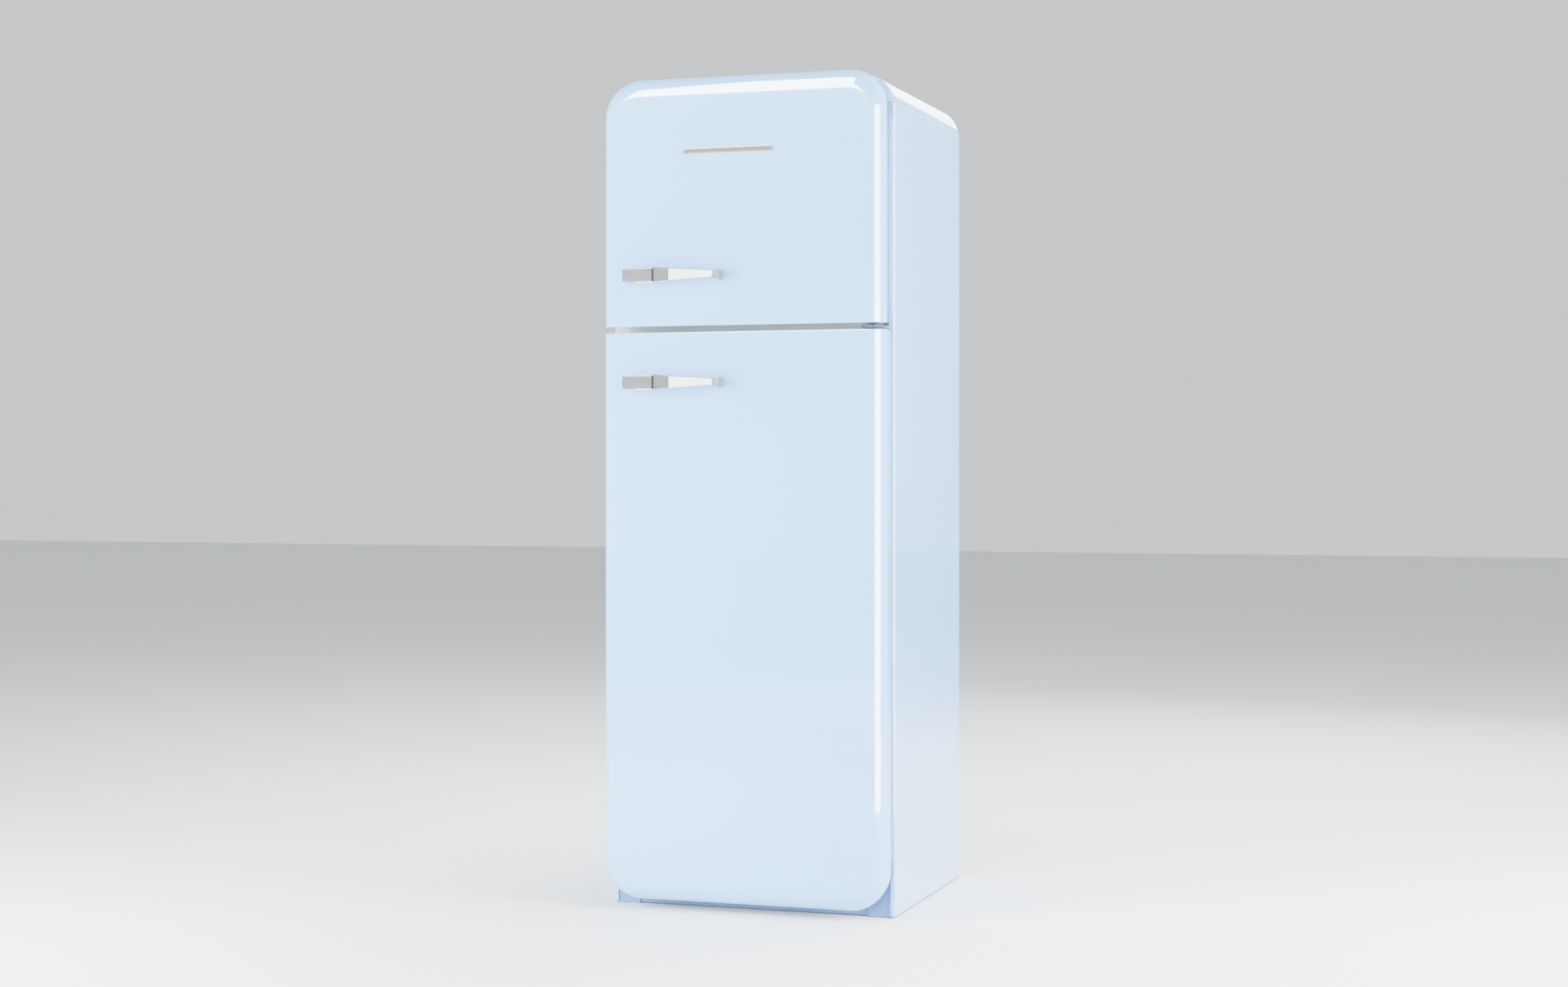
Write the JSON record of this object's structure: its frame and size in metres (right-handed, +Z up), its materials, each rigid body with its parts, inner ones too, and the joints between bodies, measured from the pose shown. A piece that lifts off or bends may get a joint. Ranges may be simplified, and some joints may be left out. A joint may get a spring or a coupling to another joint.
{
  "type": "top freezer refrigerator",
  "caption": "Upright refrigerator with a freezer compartment on top, two rounded right-hinged doors and level pull handles.",
  "frame": {"origin": "on the floor, under the middle of the whole object's bounding box, handles and condenser included", "axes": "+Z up, +X to the right of a person facing the doors, -Y out of the doors towards that person"},
  "size_m": [0.6, 0.67, 1.6874],
  "materials": {
    "enamel": "gloss pastel blue enamel",
    "chrome": "polished chrome plate",
    "zinc_steel": "zinc-coated sheet",
    "black_steel": "satin black paint",
    "white_plastic": "formed white plastic",
    "grey_plastic": "moulded blue-grey plastic",
    "foam": "rigid insulation foam",
    "seal_rubber": "soft vinyl seal",
    "dark_rubber": "dark rubber",
    "shelf_glass": "toughened glass",
    "clear_plastic": "clear moulded plastic",
    "aluminium": "plain aluminium"
  },
  "bodies": {
    "cabinet": {"side_panel_left": "enamel", "side_panel_right": "enamel", "roof_panel": "enamel", "centre_rail": "enamel", "back_panel": "zinc_steel", "base_pan": "zinc_steel", "top_hinge": "zinc_steel", "middle_hinge": "zinc_steel", "bottom_hinge": "zinc_steel", "top_hinge_pin": "zinc_steel", "middle_hinge_pin": "zinc_steel", "bottom_hinge_pin": "zinc_steel", "roller_axle_left": "zinc_steel", "roller_axle_right": "zinc_steel", "compressor": "black_steel", "condenser": "black_steel", "drip_tray": "black_steel", "freezer_liner": "white_plastic", "fridge_liner": "white_plastic", "evaporator_cover": "white_plastic", "control_housing": "white_plastic", "plinth_centre": "grey_plastic", "plinth_corner_left": "grey_plastic", "plinth_corner_right": "grey_plastic", "cabinet_foam": "foam", "cord_gland": "dark_rubber", "fridge_shelf_lower": "shelf_glass", "fridge_shelf_upper": "shelf_glass", "crisper_cover": "shelf_glass", "freezer_shelf": "shelf_glass", "lamp_cover": "clear_plastic", "ice_bin": "clear_plastic", "evaporator": "aluminium"},
    "freezer_door": {"freezer_door_skin": "enamel", "freezer_door_foam": "foam", "freezer_door_liner": "white_plastic", "freezer_door_gasket": "seal_rubber", "freezer_door_bin": "clear_plastic", "freezer_handle_arm": "chrome", "freezer_handle_grip": "chrome", "freezer_handle_post": "chrome", "badge": "chrome"},
    "fridge_door": {"fridge_door_skin": "enamel", "fridge_door_foam": "foam", "fridge_door_liner": "white_plastic", "fridge_door_gasket": "seal_rubber", "bottle_bin": "clear_plastic", "door_bin": "clear_plastic", "dairy_bin": "clear_plastic", "fridge_handle_arm": "chrome", "fridge_handle_grip": "chrome", "fridge_handle_post": "chrome"},
    "dairy_flap": {"dairy_flap": "white_plastic"},
    "crisper_drawer": {"crisper_drawer": "clear_plastic"},
    "thermostat_knob": {"thermostat_knob": "grey_plastic"},
    "freezer_fan": {"freezer_fan": "grey_plastic"},
    "front_foot_left": {"front_foot_left": "dark_rubber"},
    "front_foot_right": {"front_foot_right": "dark_rubber"},
    "rear_roller_left": {"rear_roller_left": "dark_rubber"},
    "rear_roller_right": {"rear_roller_right": "dark_rubber"}
  },
  "joints": [
    {"name": "freezer_door_hinge", "type": "hinge", "parent": "cabinet", "child": "freezer_door", "pos_m": [0.278, -0.261, 1.437], "axis": [0, 0, 1], "range_deg": [0, 115]},
    {"name": "fridge_door_hinge", "type": "hinge", "parent": "cabinet", "child": "fridge_door", "pos_m": [0.278, -0.261, 0.595], "axis": [0, 0, 1], "range_deg": [0, 115]},
    {"name": "crisper_slide", "type": "slide", "parent": "cabinet", "child": "crisper_drawer", "axis": [0, -1, 0], "range_m": [0, 0.18]},
    {"name": "dairy_flap_hinge", "type": "hinge", "parent": "fridge_door", "child": "dairy_flap", "pos_m": [0, -0.229, 1.053], "axis": [1, 0, 0], "range_deg": [0, 80]},
    {"name": "thermostat_knob_turn", "type": "hinge", "parent": "cabinet", "child": "thermostat_knob", "pos_m": [0, -0.128, 1.1307], "axis": [0, -1, 0], "range_deg": [0, 270]},
    {"name": "freezer_fan_spin", "type": "hinge", "parent": "cabinet", "child": "freezer_fan", "pos_m": [0, 0.196, 1.5], "axis": [0, 1, 0], "continuous": true},
    {"name": "front_foot_left_screw", "type": "hinge", "parent": "cabinet", "child": "front_foot_left", "pos_m": [-0.27, -0.176, 0.03], "axis": [0, 0, 1], "continuous": true},
    {"name": "front_foot_right_screw", "type": "hinge", "parent": "cabinet", "child": "front_foot_right", "pos_m": [0.27, -0.176, 0.03], "axis": [0, 0, 1], "continuous": true},
    {"name": "rear_roller_left_spin", "type": "hinge", "parent": "cabinet", "child": "rear_roller_left", "pos_m": [-0.268, 0.249, 0.015], "axis": [1, 0, 0], "continuous": true},
    {"name": "rear_roller_right_spin", "type": "hinge", "parent": "cabinet", "child": "rear_roller_right", "pos_m": [0.268, 0.249, 0.015], "axis": [1, 0, 0], "continuous": true}
  ],
  "couplings": [
    {"joint": "crisper_slide", "follows": "fridge_door_hinge", "m_per_rad": 0.0896}
  ]
}
